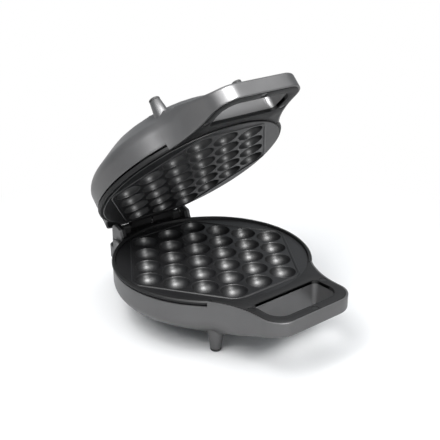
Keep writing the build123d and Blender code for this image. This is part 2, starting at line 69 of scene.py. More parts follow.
# Camera solved from the photograph
CAMERA_PLACE = Vector((-0.4815, -0.5828461, 0.4178))
CAMERA_RIGHT = Vector((0.7687, -0.6396, 0.0))
CAMERA_BACK = Vector((-0.5888, -0.7077, 0.3904))
CAMERA_LENS = 70.67

# Half of the iron, lying open side up, its rim at z = 0
PLATE_RADIUS = 0.0936
LAND = -0.0026
RIDGE_TOP = -0.0018
CUP_PITCH = 0.0300
ROW_PITCH = 0.0227
CUPS_IN_ROWS = (3, 4, 5, 6, 5, 4, 3)
CUP_RADIUS = 0.0124
CUP_DEPTH = 0.0100
CUP_SIDES = 40
CUP_LIP = 0.0005
LIP_TURNS = (30, 60)
BOWL_TURNS = (3, 11, 20, 29, 38, 47, 56, 65, 74, 83)
RIDGE_MARGIN = 0.0014
RIDGE_WIDTH = 0.0024
RIDGE_CORNER = 0.0100
RIDGE_ROUNDING = 0.0005
RIDGE_SLOPE = 0.0002
PLATE_SIDES = 192
# Narrow faces beside a rounded edge, which keep the flat land's shading flat
LAND_SUPPORT = 0.0002
RIDGE_SUPPORT = 0.0004
# Distance in from the plate's edge and level from the land, point by point
PLATE_RIM = ((0.0012, 0.0), (0.0006, 0.0), (0.0003, -0.0001), (0.0001, -0.0003), (0.0, -0.0006),
             (0.0, -0.0016), (0.0033, -0.0016))
# Faces of the CAD plate that look down, from this far under the land, are its underside
UNDERSIDE_START = 0.0017
LOOKS_DOWN = 0.05

low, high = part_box("base_baking_plate")
MIDDLE_Y = (low.y + high.y) / 2
RIM = high.z - RIDGE_TOP
hinge = frame["joints"][0]
HINGE = Vector(hinge["pos_m"])
OPENING = math.radians(-hinge["range_deg"][0])

# The upper half is the lower one mirrored in its rim's plane and turned open about the hinge.
BASE = Matrix.Translation((0, MIDDLE_Y, RIM))
LID = (Matrix.Translation(HINGE) @ Matrix.Rotation(OPENING, 4, Vector((-1, 0, 0)))
       @ Matrix.Translation(-HINGE) @ BASE @ Matrix.Scale(-1, 4, Vector((0, 0, 1))))
PLACES = {"base": BASE, "lid": LID}


# Materials

FINE_SHARE = 0.6
ROUGH_SPREAD = 0.06
BUMP_DEPTH = 0.00004
COAT_ROUGHNESS = 0.25


def node_material(name):
    material = bpy.data.materials.new(name)
    material.use_nodes = True
    return material, material.node_tree.nodes, material.node_tree.links


def finish_material(name, color, roughness, metallic=0.0, specular=0.5, grain=900.0, spread=0.12,
                    mottle=40.0, bump=0.15, coat=0.0):
    """A moulded, cast or painted surface: fine grain, slow mottling and a bump, all in object space."""
    material, nodes, links = node_material(name)
    shader = nodes["Principled BSDF"]
    shader.inputs["Metallic"].default_value = metallic
    shader.inputs["Specular IOR Level"].default_value = specular
    shader.inputs["Coat Weight"].default_value = coat
    shader.inputs["Coat Roughness"].default_value = COAT_ROUGHNESS
    place = nodes.new("ShaderNodeTexCoord")
    fine = nodes.new("ShaderNodeTexNoise")
    fine.inputs["Scale"].default_value = grain
    fine.inputs["Detail"].default_value = 3.0
    slow = nodes.new("ShaderNodeTexNoise")
    slow.inputs["Scale"].default_value = mottle
    slow.inputs["Detail"].default_value = 2.0
    links.new(place.outputs["Object"], fine.inputs["Vector"])
    links.new(place.outputs["Object"], slow.inputs["Vector"])
    both = nodes.new("ShaderNodeMath")
    both.operation = "MULTIPLY_ADD"
    both.inputs[1].default_value = FINE_SHARE
    links.new(fine.outputs["Fac"], both.inputs[0])
    part = nodes.new("ShaderNodeMath")
    part.operation = "MULTIPLY"
    part.inputs[1].default_value = 1 - FINE_SHARE
    links.new(slow.outputs["Fac"], part.inputs[0])
    links.new(part.outputs[0], both.inputs[2])
    ramp = nodes.new("ShaderNodeValToRGB")
    ramp.color_ramp.elements[0].position = 0.25
    ramp.color_ramp.elements[1].position = 0.75
    ramp.color_ramp.elements[0].color = [c * (1 - spread) for c in color] + [1]
    ramp.color_ramp.elements[1].color = [min(1, c * (1 + spread)) for c in color] + [1]
    links.new(both.outputs[0], ramp.inputs["Fac"])
    links.new(ramp.outputs["Color"], shader.inputs["Base Color"])
    rough = nodes.new("ShaderNodeMapRange")
    rough.inputs["From Min"].default_value = 0.3
    rough.inputs["From Max"].default_value = 0.7
    rough.inputs["To Min"].default_value = roughness - ROUGH_SPREAD
    rough.inputs["To Max"].default_value = roughness + ROUGH_SPREAD
    links.new(both.outputs[0], rough.inputs["Value"])
    links.new(rough.outputs["Result"], shader.inputs["Roughness"])
    relief = nodes.new("ShaderNodeBump")
    relief.inputs["Strength"].default_value = bump
    relief.inputs["Distance"].default_value = BUMP_DEPTH
    links.new(fine.outputs["Fac"], relief.inputs["Height"])
    links.new(relief.outputs["Normal"], shader.inputs["Normal"])
    return material


FINISHES = {
    "shell_paint": finish_material("shell_paint", (0.122, 0.121, 0.122), 0.44, metallic=0.7, specular=0.35,
                                   grain=2200, spread=0.10, bump=0.12),
    "black_plastic": finish_material("black_plastic", (0.007, 0.007, 0.0075), 0.55, specular=0.25, grain=1500,
                                     bump=0.25),
    "plate_coating": finish_material("plate_coating", (0.006, 0.006, 0.007), 0.45, specular=0.45, grain=1100,
                                     bump=0.10),
    "element_steel": finish_material("element_steel", (0.20, 0.19, 0.18), 0.45, metallic=0.9, mottle=120),
    "sheet_steel": finish_material("sheet_steel", (0.45, 0.45, 0.45), 0.35, metallic=1.0, mottle=90),
    "sheet_aluminium": finish_material("sheet_aluminium", (0.7, 0.7, 0.7), 0.3, metallic=1.0, mottle=70),
    "thermostat_case": finish_material("thermostat_case", (0.55, 0.55, 0.56), 0.35, metallic=1.0),
    "fuse_sleeve": finish_material("fuse_sleeve", (0.7, 0.68, 0.62), 0.8, grain=2500, bump=0.5),
    "white_ceramic": finish_material("white_ceramic", (0.75, 0.74, 0.7), 0.25, grain=400),
    "screw_steel": finish_material("screw_steel", (0.5, 0.5, 0.5), 0.35, metallic=1.0),
    "screw_black": finish_material("screw_black", (0.02, 0.02, 0.02), 0.35, metallic=0.3),
    "foot_rubber": finish_material("foot_rubber", (0.02, 0.02, 0.02), 0.75, grain=1800, bump=0.4),
    "gland_rubber": finish_material("gland_rubber", (0.02, 0.02, 0.02), 0.7, grain=1800, bump=0.4),
    "pin_steel": finish_material("pin_steel", (0.45, 0.45, 0.45), 0.3, metallic=1.0),
    "lens_red": finish_material("lens_red", (0.45, 0.02, 0.015), 0.15, grain=300, bump=0.05, coat=0.5),
    "lens_green": finish_material("lens_green", (0.02, 0.30, 0.06), 0.15, grain=300, bump=0.05, coat=0.5),
    "lamp_glass": finish_material("lamp_glass", (0.7, 0.7, 0.7), 0.1, grain=300, bump=0.05),
}
SLOT_OF = {part["node"]: part["material_slot"] for part in frame["record"]["subparts"]}
for node_name, node in frame["nodes"].items():
    node.data.materials.clear()
    node.data.materials.append(FINISHES[SLOT_OF[node_name]])


# Mesh helpers

SAME_PLACE = 1e-7
SAME_CAD_PLACE = 1e-6
FLAT_ENOUGH = math.radians(0.4)
BEVEL_ANGLE = math.radians(28)
BEVEL_SEGMENTS = 2
CREASE = math.radians(40)


def new_piece(name, vertices, faces, half, slot, replaces=()):
    """A mesh drawn in a half's own coordinates, put on its body."""
    mesh = bpy.data.meshes.new(name)
    mesh.from_pydata(vertices, [], faces)
    mesh.transform(PLACES[half])
    work = bmesh.new()
    work.from_mesh(mesh)
    bmesh.ops.remove_doubles(work, verts=work.verts, dist=SAME_PLACE)
    bmesh.ops.recalc_face_normals(work, faces=work.faces)
    work.to_mesh(mesh)
    work.free()
    for polygon in mesh.polygons:
        polygon.use_smooth = True
    mesh.materials.append(FINISHES[slot])
    piece = bpy.data.objects.new(name, mesh)
    bpy.context.scene.collection.objects.link(piece)
    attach(piece, half)
    if replaces:
        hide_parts(*replaces)
    return piece


def softened(node_name, name, width, reshape):
    """A copy of a rigid CAD piece, its points moved by reshape and its sharp edges rounded a little."""
    source = frame["nodes"][node_name]
    half = source["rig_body"]
    mesh = source.data.copy()
    mesh.name = name
    back = PLACES[half].inverted()
    for vertex in mesh.vertices:
        vertex.co = PLACES[half] @ reshape(back @ vertex.co)
    work = bmesh.new()
    work.from_mesh(mesh)
    bmesh.ops.remove_doubles(work, verts=work.verts, dist=SAME_CAD_PLACE)
    bmesh.ops.dissolve_limit(work, angle_limit=FLAT_ENOUGH, verts=work.verts, edges=work.edges)
    work.to_mesh(mesh)
    work.free()
    for polygon in mesh.polygons:
        polygon.use_smooth = True
    piece = bpy.data.objects.new(name, mesh)
    bpy.context.scene.collection.objects.link(piece)
    bevel = piece.modifiers.new("edges", "BEVEL")
    bevel.width = width
    bevel.segments = BEVEL_SEGMENTS
    bevel.limit_method = "ANGLE"
    bevel.angle_limit = BEVEL_ANGLE
    bevel.use_clamp_overlap = True
    weighted = piece.modifiers.new("normals", "WEIGHTED_NORMAL")
    weighted.keep_sharp = True
    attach(piece, half)
    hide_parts(node_name)


# Baking plates


def cup_places():
    """Middles of the cups, row by row from the back."""
    rows = len(CUPS_IN_ROWS)
    places = []
    for row, count in enumerate(CUPS_IN_ROWS):
        y = ((rows - 1) / 2 - row) * ROW_PITCH
        places += [((i - (count - 1) / 2) * CUP_PITCH, y) for i in range(count)]
    return places


def hexagon(margin, corner):
    """Rounded six-sided outline round all the cups, margin outside them, as a list of points."""
    steps = 8
    half_rows = (len(CUPS_IN_ROWS) - 1) / 2
    flat = half_rows * ROW_PITCH + CUP_RADIUS + margin
    length = math.hypot(ROW_PITCH, CUP_PITCH / 2)
    nx, ny = ROW_PITCH / length, CUP_PITCH / 2 / length
    side = (max(CUPS_IN_ROWS) - 1) / 2 * CUP_PITCH * nx + CUP_RADIUS + margin
    tip = side / nx
    shoulder = (side - flat * ny) / nx
    corners = [Vector(p) for p in ((tip, 0), (shoulder, flat), (-shoulder, flat), (-tip, 0),
                                   (-shoulder, -flat), (shoulder, -flat))]
    points = []
    for i, corner_point in enumerate(corners):
        before = (corners[i - 1] - corner_point).normalized()
        after = (corners[(i + 1) % 6] - corner_point).normalized()
        half_turn = before.angle(after) / 2
        middle = corner_point + (before + after).normalized() * corner / math.sin(half_turn)
        start = corner_point + before * corner / math.tan(half_turn) - middle
        sweep = math.pi - 2 * half_turn
        points += [middle + Matrix.Rotation(sweep * k / steps, 2) @ start for k in range(steps + 1)]
    return points


def circle(radius, sides, x=0.0, y=0.0):
    turns = [2 * math.pi * i / sides for i in range(sides)]
    return [Vector((x + radius * math.cos(a), y + radius * math.sin(a))) for a in turns]


def rings_to_faces(loops, vertices, faces):
    """Adds closed loops of equal length and the quads between them."""
    first = len(vertices)
    count = len(loops[0])
    for loop in loops:
        vertices += [tuple(p) for p in loop]
    for k in range(len(loops) - 1):
        for i in range(count):
            j = (i + 1) % count
            a, b = first + k * count, first + (k + 1) * count
            faces.append((a + i, a + j, b + j, b + i))
    return first


def inside(point, loop):
    """Whether a point lies in a closed outline."""
    found = False
    for (ax, ay, *_), (bx, by, *_) in zip(loop, loop[1:] + loop[:1]):
        if (ay > point.y) != (by > point.y) and point.x < (bx - ax) * (point.y - ay) / (by - ay) + ax:
            found = not found
    return found


def flat_land(outline, holes, level, vertices, faces):
    """A flat face with holes in it, as triangles."""
    points, edges = [], []
    for loop in [outline] + holes:
        start = len(points)
        points += [Vector(p[:2]) for p in loop]
        edges += [(start + i, start + (i + 1) % len(loop)) for i in range(len(loop))]
    corners, _, triangles, *_ = delaunay_2d_cdt(points, edges, [], 1, SAME_PLACE)
    first = len(vertices)
    vertices += [(p.x, p.y, level) for p in corners]
    for triangle in triangles:
        centre = sum((corners[i] for i in triangle), Vector((0, 0))) / len(triangle)
        if inside(centre, outline) and not any(inside(centre, hole) for hole in holes):
            faces.append(tuple(first + i for i in triangle))


def smooth_plate(half):
    """Cast plate: round cups with rolled lips, flat land, raised six-sided ridge and a rolled rim."""
    vertices, faces = [], []
    holes = []
    profile = [(CUP_RADIUS + CUP_LIP + LAND_SUPPORT, 0.0), (CUP_RADIUS + CUP_LIP, 0.0)]
    for a in map(math.radians, LIP_TURNS):
        profile.append((CUP_RADIUS + CUP_LIP * (1 - math.sin(a)), CUP_LIP * (1 - math.cos(a))))
    for a in map(math.radians, BOWL_TURNS):
        profile.append((CUP_RADIUS * math.cos(a), CUP_DEPTH * math.sin(a)))
    for x, y in cup_places():
        loops = [[(*p, LAND - down) for p in circle(radius, CUP_SIDES, x, y)] for radius, down in profile]
        holes.append(loops[0])
        first = rings_to_faces(loops, vertices, faces)
        last = first + (len(loops) - 1) * CUP_SIDES
        bottom = len(vertices)
        vertices.append((x, y, LAND - CUP_DEPTH))
        faces += [(last + i, last + (i + 1) % CUP_SIDES, bottom) for i in range(CUP_SIDES)]
    # The ridge is swept round the cup field with rounded shoulders.
    rise = RIDGE_TOP - LAND
    near = [(-RIDGE_SUPPORT, 0.0), (0.0, 0.0), (RIDGE_SLOPE, rise * 0.6), (RIDGE_ROUNDING, rise)]
    profile = near + [(RIDGE_WIDTH - out, z) for out, z in reversed(near)]
    loops = [[(*p, LAND + z) for p in hexagon(RIDGE_MARGIN + out, RIDGE_CORNER + out)] for out, z in profile]
    rings_to_faces(loops, vertices, faces)
    edge = [[(*p, LAND + z) for p in circle(PLATE_RADIUS - inward, PLATE_SIDES)] for inward, z in PLATE_RIM]
    rings_to_faces(edge, vertices, faces)
    flat_land(loops[0], holes, LAND, vertices, faces)
    flat_land(edge[0], [loops[-1]], LAND, vertices, faces)
    # The underside is the CAD piece's own.
    source = frame["nodes"][half + "_baking_plate"].data
    back = PLACES[half].inverted()
    places = [back @ v.co for v in source.vertices]
    mirrored = PLACES[half].determinant() < 0
    for polygon in source.polygons:
        corners = [places[i] for i in polygon.vertices]
        normal = (corners[1] - corners[0]).cross(corners[2] - corners[0])
        if mirrored:
            normal.negate()
        centre = sum(corners, Vector()) / len(corners)
        downward = normal.length and normal.z / normal.length < LOOKS_DOWN
        if downward and centre.z < LAND - UNDERSIDE_START:
            first = len(vertices)
            vertices += [tuple(c) for c in corners]
            faces.append(tuple(range(first, first + len(corners))))
    new_piece(half + "_plate_cast", vertices, faces, half, "plate_coating", [half + "_baking_plate"])


# Casings

SHELL_RADIUS = 0.0962
SHELL_WALL = 0.0018
SHELL_EDGE = {"base": -0.0053, "lid": -0.0100}
SET_BACK = {"base": 0.0, "lid": 0.0039}
DEEPER = {"base": 0.0, "lid": 0.0036}
WALL_TOP = -0.0005
COLUMN_TOP = -0.0039
COLUMN_WALL = 0.0016
FLOOR_RADIUS = 0.0625
FLOOR_LEVEL = -0.0500
FLANK_SLOPE = 0.6677
FLOOR_BLEND = 0.0016
DECK_LINE = SHELL_RADIUS * math.cos(math.radians(41))
HANDLE_HALF = 0.0490
HANDLE_FRONT = 0.1456
HANDLE_CORNER = 0.0210
HANDLE_NECK = 0.0850
HANDLE_DEPTH = 0.0144
HANDLE_KNEE = 0.1350
HANDLE_ROOT_DEPTH = 0.0460
KNEE_BLEND = 0.0030
# Beyond this much past the handle's width the tongues' underside climbs, by this much for each unit
NECK_MARGIN = 0.0015
NECK_CLIMB = 1.2
ROOT = 0.0500
HOLE_HALF = 0.0390
HOLE_BACK = 0.1020
HOLE_FRONT = 0.1350
HOLE_FRONT_CORNER = 0.0150
HOLE_BACK_CORNER = 0.0045
TAIL_HALF = 0.0480
TAIL_CORNER = 0.0100
TAIL_NECK = 0.0300
TAIL_END = {"base": 0.1150, "lid": 0.1170}
TAIL_TOP = {"base": -0.0145, "lid": -0.0110}
TAIL_STEP = {"base": 0.1020, "lid": 0.1050}
TAIL_END_DEPTH = 0.0280
TAIL_ROOT_DEPTH = 0.0435
TAIL_ARCH = 0.0125
HINGE_Y = 0.1022
HINGE_DEPTH = -0.00304
FOOT_X = 0.0480
FOOT_Y = 0.0640
FOOT_TIP = -0.0563
FOOT_TIP_RADIUS = 0.0052
FOOT_TIP_ROUNDING = 0.0004
FOOT_TAPER = 0.14
FOOT_HEIGHT = 0.0215
FOOT_SIDES = 32
NECK_STEPS = 14

# Rounding between wall and underside, wide on the body, and where it narrows towards handle and tail
BODY_ROUNDING = 0.0070
END_ROUNDING = 0.0028
NARROWS_FROM = 0.0750
NARROWS_OVER = 0.0250
LEAST_ROUNDING = 0.0005
LIP_ROUNDING = 0.0005
HOLE_ROUNDING = 0.0006
# How far the underside's inner face lies above its outer face, for each unit of wall on the mean slope
SLOPE_LIFT = 1.15
# Triangular grid of points that carries the underside's curve
GRID_STEP = 0.0042
GRID_ROW = GRID_STEP * 0.87
GRID_FRONT = -0.1440
GRID_LENGTH = 0.2620
GRID_COLUMNS = 26
GRID_CLEAR = GRID_STEP * 0.45

# Middle and radius of the ear's two rounded corners
EAR_FRONT_CORNER = (0.0966, 0.0030, 0.0038)
EAR_BACK_CORNER = (0.1032, 0.0044, 0.0044)
EAR_FRONT = 0.0908
EAR_BACK = 0.1086
EAR_FOOT = -0.0270
EAR_STEP = -0.0030
# Level of x and size of the side view, slice by slice
EAR_SLICES = ((0.0415, 0.94), (0.0418, 1.0), (0.0445, 1.0), (0.0450, 0.94))
# Slices of the black inner ear halves, whose black is painted shade on the ears' inner faces
SHADE_HALF_SLICES = ((0.0380, 0.92), (0.0384, 0.97), (0.0410, 0.97), (0.0414, 0.97))


def arc(x, y, radius, start, end, steps):
    """Points on an arc, its angles in degrees."""
    turns = [math.radians(start + (end - start) * k / steps) for k in range(steps + 1)]
    return [Vector((x + radius * math.cos(a), y + radius * math.sin(a))) for a in turns]


def neck_centre(half_width, rounding, side):
    """Middle of the concave arc between a tongue and the round body, in front for side -1."""
    x = half_width + rounding
    return x, side * math.sqrt((SHELL_RADIUS + rounding) ** 2 - x * x)


def neck_arc(half_width, rounding, side):
    """The concave arc from a tongue to the round body."""
    x, y = neck_centre(half_width, rounding, side)
    meet = math.degrees(math.atan2(-y, -x))
    return arc(x, y, rounding, math.copysign(180, meet), meet, NECK_STEPS)


def split(loop, step, levels):
    """The closed loop with no side longer than step, and a pair of close points at each level of y."""
    crumb = 0.00005
    result = []
    for a, b in zip(loop, loop[1:] + loop[:1]):
        marks = {0.0}
        count = max(1, math.ceil((b - a).length / step))
        marks.update(k / count for k in range(1, count))
        for level in levels:
            for y in (level - crumb, level + crumb):
                if (a.y - y) * (b.y - y) < 0:
                    marks.add((y - a.y) / (b.y - a.y))
        result += [a.lerp(b, t) for t in sorted(marks)]
    return result


def inward_normals(loop):
    """Unit vectors to the left of a loop that runs anticlockwise."""
    normals = []
    for before, after in zip(loop[-1:] + loop[:-1], loop[1:] + loop[:1]):
        along = (after - before).normalized()
        normals.append(Vector((-along.y, along.x)))
    return normals


def casing_plan(half):
    """Outline of the round body with its handle and tail, anticlockwise from the front's middle."""
    end = TAIL_END[half]
    handle_x, handle_y = neck_centre(HANDLE_HALF, HANDLE_NECK, -1)
    tail_x, tail_y = neck_centre(TAIL_HALF, TAIL_NECK, 1)
    handle_meet = math.degrees(math.atan2(handle_y, handle_x))
    tail_meet = math.degrees(math.atan2(tail_y, tail_x))
    right = arc(HANDLE_HALF - HANDLE_CORNER, HANDLE_CORNER - HANDLE_FRONT, HANDLE_CORNER, -90, 0, 14)
    right += neck_arc(HANDLE_HALF, HANDLE_NECK, -1)
    right += arc(0, 0, SHELL_RADIUS, handle_meet, tail_meet, 50)[1:-1]
    right += reversed(neck_arc(TAIL_HALF, TAIL_NECK, 1))
    right += arc(TAIL_HALF - TAIL_CORNER, end - TAIL_CORNER, TAIL_CORNER, 0, 90, 8)
    loop = right + [Vector((-p.x, p.y)) for p in reversed(right)]
    return split(loop, 0.004, [-DECK_LINE, TAIL_STEP[half]])


def hole_outline(margin):
    """Outline of the grip hole, grown by margin."""
    front, back = HOLE_FRONT_CORNER + margin, HOLE_BACK_CORNER + margin
    right = arc(HOLE_HALF - HOLE_FRONT_CORNER, HOLE_FRONT_CORNER - HOLE_FRONT, front, -90, 0, 8)
    right += arc(HOLE_HALF - HOLE_BACK_CORNER, -HOLE_BACK - HOLE_BACK_CORNER, back, 0, 90, 5)
    return split(right + [Vector((-p.x, p.y)) for p in reversed(right)], 0.005, [])


def softest(a, b, reach=0.003):
    """The lower of two levels, with the crease between them rounded."""
    blend = max(reach - abs(a - b), 0) / reach
    return min(a, b) - blend * blend * reach / 4


def underside(half, x, y):
    """Level of the casing's outer underside at a point of the plan."""
    climb = (math.hypot(x, y) - FLOOR_RADIUS) * FLANK_SLOPE
    level = FLOOR_LEVEL + (climb + math.hypot(climb, FLOOR_BLEND)) / 2
    past = max(abs(x) - HANDLE_HALF - NECK_MARGIN, 0) * NECK_CLIMB
    depth = HANDLE_DEPTH + SET_BACK[half]
    if y < 0:
        slope = (HANDLE_ROOT_DEPTH - HANDLE_DEPTH) / (HANDLE_KNEE - ROOT)
        fall = (HANDLE_KNEE - max(-y, ROOT)) * slope
        return softest(level - DEEPER[half], -depth - (fall + math.hypot(fall, KNEE_BLEND)) / 2 + past)
    slope = (TAIL_ROOT_DEPTH - TAIL_END_DEPTH) / (TAIL_END[half] - ROOT)
    tail = -TAIL_END_DEPTH - (TAIL_END[half] - max(y, ROOT)) * slope + past
    return softest(level - DEEPER[half], tail)


def top_level(half, p):
    """Level of the casing wall's upper edge at a point of its outline."""
    if p.y < -DECK_LINE:
        return WALL_TOP - SET_BACK[half]
    level = SHELL_EDGE[half] if p.y < TAIL_STEP[half] else TAIL_TOP[half]
    away = abs(p.y - HINGE_Y)
    if half == "lid" and away < TAIL_ARCH:
        level = min(level, HINGE_DEPTH - math.sqrt(TAIL_ARCH ** 2 - away ** 2))
    return level


def edge_rounding(p):
    """Radius between the wall and the underside: wide on the body, small on handle and tail."""
    far = min(max((abs(p.y) - NARROWS_FROM) / NARROWS_OVER, 0), 1)
    return BODY_ROUNDING + (END_ROUNDING - BODY_ROUNDING) * far


def casing_skin(half, inset, vertices, faces):
    """One side of the casing: wall, rounded lower edge and underside, with the grip hole left open."""
    plan = casing_plan(half)
    normals = inward_normals(plan)
    lift = inset * SLOPE_LIFT
    outer = inset == 0
    drop = LIP_ROUNDING if outer else 0.0
    walls = [(p, n, top_level(half, p), max(edge_rounding(p) - inset, LEAST_ROUNDING))
             for p, n in zip(plan, normals)]

    def bottom(spot):
        return underside(half, spot.x, spot.y) + lift

    loops = []
    if outer:
        loops.append([(*(p + n * LIP_ROUNDING), top) for p, n, top, _ in walls])
        loops.append([(*(p + n * (LIP_ROUNDING * 0.3)), top - LIP_ROUNDING * 0.3) for p, n, top, _ in walls])
    for share in (0.0, 0.12, 0.5, 0.88, 1.0):
        spots = [(p + n * inset, top - drop, radius) for p, n, top, radius in walls]
        loops.append([(*spot, upper * (1 - share) + (bottom(spot) + radius) * share)
                      for spot, upper, radius in spots])
    for turn in (15, 30, 45, 60, 75, 90):
        inward, up = 1 - math.cos(math.radians(turn)), 1 - math.sin(math.radians(turn))
        spots = [(p + n * (inset + radius * inward), radius * up) for p, n, _, radius in walls]
        loops.append([(*spot, bottom(spot) + above) for spot, above in spots])
    first = rings_to_faces(loops, vertices, faces)
    inner = [Vector(p[:2]) for p in loops[-1]]
    hole = hole_outline(HOLE_ROUNDING if outer else COLUMN_WALL)
    points, edges = [], []
    for loop in (inner, hole):
        start = len(points)
        points += loop
        edges += [(start + i, start + (i + 1) % len(loop)) for i in range(len(loop))]
    for j in range(int(GRID_LENGTH / GRID_ROW)):
        for i in range(-GRID_COLUMNS, GRID_COLUMNS + 1):
            spot = Vector(((i + (j % 2) / 2) * GRID_STEP, GRID_FRONT + j * GRID_ROW))
            if inside(spot, inner) and not inside(spot, hole):
                if min((spot - p).length for p in inner + hole) > GRID_CLEAR:
                    points.append(spot)
    corners, _, triangles, *_ = delaunay_2d_cdt(points, edges, [], 1, SAME_PLACE)
    start = len(vertices)
    vertices += [(p.x, p.y, underside(half, p.x, p.y) + lift) for p in corners]
    for triangle in triangles:
        centre = sum((corners[i] for i in triangle), Vector((0, 0))) / len(triangle)
        if inside(centre, inner) and not inside(centre, hole):
            faces.append(tuple(start + i for i in triangle))
    return first


def casing(half):
    """Closed casing with the wall round its grip hole and its four tapered legs."""
    vertices, faces = [], []
    outer = casing_skin(half, 0.0, vertices, faces)
    inner = casing_skin(half, SHELL_WALL, vertices, faces)
    count = len(casing_plan(half))
    faces += [(outer + i, outer + (i + 1) % count, inner + (i + 1) % count, inner + i) for i in range(count)]
    top = COLUMN_TOP - SET_BACK[half]
    lift = SHELL_WALL * SLOPE_LIFT
    column = [(HOLE_ROUNDING, 0.0), (HOLE_ROUNDING * 0.3, HOLE_ROUNDING * 0.3), (0.0, HOLE_ROUNDING)]
    loops = [[(*p, underside(half, p.x, p.y) + up) for p in hole_outline(margin)] for margin, up in column]
    loops.append([(*p, top) for p in hole_outline(0.0)])
    loops.append([(*p, top) for p in hole_outline(COLUMN_WALL)])
    loops.append([(*p, underside(half, p.x, p.y) + lift) for p in hole_outline(COLUMN_WALL)])
    rings_to_faces(loops, vertices, faces)
    for sx in (-1, 1):
        for sy in (-1, 1):
            leg(sx * FOOT_X, sy * FOOT_Y, vertices, faces)
    if half == "base":
        for side in (-1, 1):
            ear(side, vertices, faces, EAR_SLICES)
    piece = new_piece(half + "_casing", vertices, faces, half, "shell_paint", [half + "_shell"])
    piece.data.set_sharp_from_angle(angle=CREASE)


def leg(x, y, vertices, faces):
    """A round tapered leg that runs up into the casing."""
    profile = [(FOOT_TIP_RADIUS - FOOT_TIP_ROUNDING, 0.0), (FOOT_TIP_RADIUS, FOOT_TIP_ROUNDING)]
    profile += [(FOOT_TIP_RADIUS + FOOT_TAPER * up, up) for up in (FOOT_HEIGHT / 2, FOOT_HEIGHT)]
    loops = [[(*p, FOOT_TIP + up) for p in circle(radius, FOOT_SIDES, x, y)] for radius, up in profile]
    first = rings_to_faces(loops, vertices, faces)
    last = first + (len(loops) - 1) * FOOT_SIDES
    faces.append(tuple(first + i for i in range(FOOT_SIDES)))
    faces.append(tuple(last + i for i in range(FOOT_SIDES)))


def ear_outline():
    """Side view of the rounded ear beside the hinge, as points in y and z."""
    outline = arc(*EAR_FRONT_CORNER, 180, 110, 5) + arc(*EAR_BACK_CORNER, 95, 0, 7)
    corners = ((EAR_BACK, EAR_FOOT), (EAR_FRONT, EAR_FOOT), (EAR_FRONT, EAR_STEP))
    return outline + [Vector(corner) for corner in corners]


def ear(side, vertices, faces, slices):
    """An ear built as slices in x, each with its size."""
    outline = ear_outline()
    middle = sum(outline, Vector((0, 0))) / len(outline)
    loops = [[(side * x, *(middle + (p - middle) * size)) for p in outline] for x, size in slices]
    first = rings_to_faces(loops, vertices, faces)
    count = len(outline)
    last = first + (len(loops) - 1) * count
    faces.append(tuple(first + i for i in range(count)))
    faces.append(tuple(last + i for i in range(count)))


# Frames

BAND_GAP = 0.0022
RIM_LEVEL = -0.0002
LEDGE_TOP = -0.0044
DECK_COVER = 0.0001
DECK_INNER = 0.0939
DECK_GAP = 0.00205
DECK_THICKNESS = 0.0034
RECESS_RADIUS = 0.0033
RECESS_SIDES = 24
DECK_EDGE = 0.0002
DECK_HOLE_EDGE = 0.0010
DECK_RECESS_EDGE = 0.00025
SCREWS = ((-0.0440, -0.1070), (0.0440, -0.1070), (0.0, -0.1403))
# Limits of the frame's rim ring and handle cover, and of the hinge seat, which stays as it is
RING_FROM = 0.0930
COVER_FROM = -0.0900
SEAT_FROM = 0.0875
LID_SEAT_FROM = 0.0985
SEAT_HALF = 0.0372
# Level of the band's lower edge in the CAD piece, for points further out than BAND_FROM
BAND_EDGE = -0.0038
BAND_FROM = 0.0938
MATCH = 0.00005


def frame_shape(half):
    """How the frame's CAD points move: the band ends above a shadow gap, the upper rim is set back."""
    def moved(point):
        ring = math.hypot(point.x, point.y) > RING_FROM or point.y < COVER_FROM
        if not ring or point.z < LEDGE_TOP + 2 * MATCH:
            return point
        seat = point.y > SEAT_FROM and abs(point.x) < SEAT_HALF
        if seat and (half == "base" or point.y > LID_SEAT_FROM):
            return point
        if abs(point.z - BAND_EDGE) < MATCH and point.length > BAND_FROM:
            point.z = SHELL_EDGE[half] + BAND_GAP
        else:
            point.z -= SET_BACK[half]
        return point
    return moved


def deck_cover(half):
    """Black cover of the handle round its grip hole, with rounded edges and three screw recesses."""
    plan = casing_plan(half)
    placed = [p + n * DECK_GAP for p, n in zip(plan, inward_normals(plan))]
    right = [p for p in placed[:len(placed) // 2] if p.y < -DECK_LINE]
    left = [p for p in placed[len(placed) // 2:] if p.y < -DECK_LINE]
    turn = math.degrees(math.acos(DECK_LINE / DECK_INNER))
    outline = left + right + arc(0, 0, DECK_INNER, turn - 90, -turn - 90, 60)
    level = RIM_LEVEL + DECK_COVER - SET_BACK[half]
    vertices, faces = [], []

    def rim_loops(loop, ways, size):
        rows = [(size, 0.0), (size * 0.3, -size * 0.3), (0.0, -size), (0.0, -DECK_THICKNESS)]
        loops = [[(*(p + n * inward), level + down) for p, n in zip(loop, ways)] for inward, down in rows]
        rings_to_faces(loops, vertices, faces)
        return [Vector(p[:2]) for p in loops[0]]

    outside = rim_loops(outline, inward_normals(outline), DECK_EDGE)
    openings = [hole_outline(0.0)] + [circle(RECESS_RADIUS, RECESS_SIDES, x, y) for x, y in SCREWS]
    edges = [DECK_HOLE_EDGE] + [DECK_RECESS_EDGE] * len(SCREWS)
    holes = [rim_loops(loop, [-n for n in inward_normals(loop)], size) for loop, size in zip(openings, edges)]
    flat_land(outside, holes, level, vertices, faces)
    flat_land(outline, openings, level - DECK_THICKNESS, vertices, faces)
    piece = new_piece(half + "_deck_cover", vertices, faces, half, "black_plastic")
    piece.data.set_sharp_from_angle(angle=CREASE)


def ear_shade_halves():
    """Black inner halves of the two ears, which carry the pin's ends; their black is painted shade for the
    ears' shaded inner faces.
    """
    vertices, faces = [], []
    for side in (-1, 1):
        ear(side, vertices, faces, SHADE_HALF_SLICES)
    piece = new_piece("base_ear_shade_halves", vertices, faces, "base", "black_plastic")
    piece.data.set_sharp_from_angle(angle=CREASE)


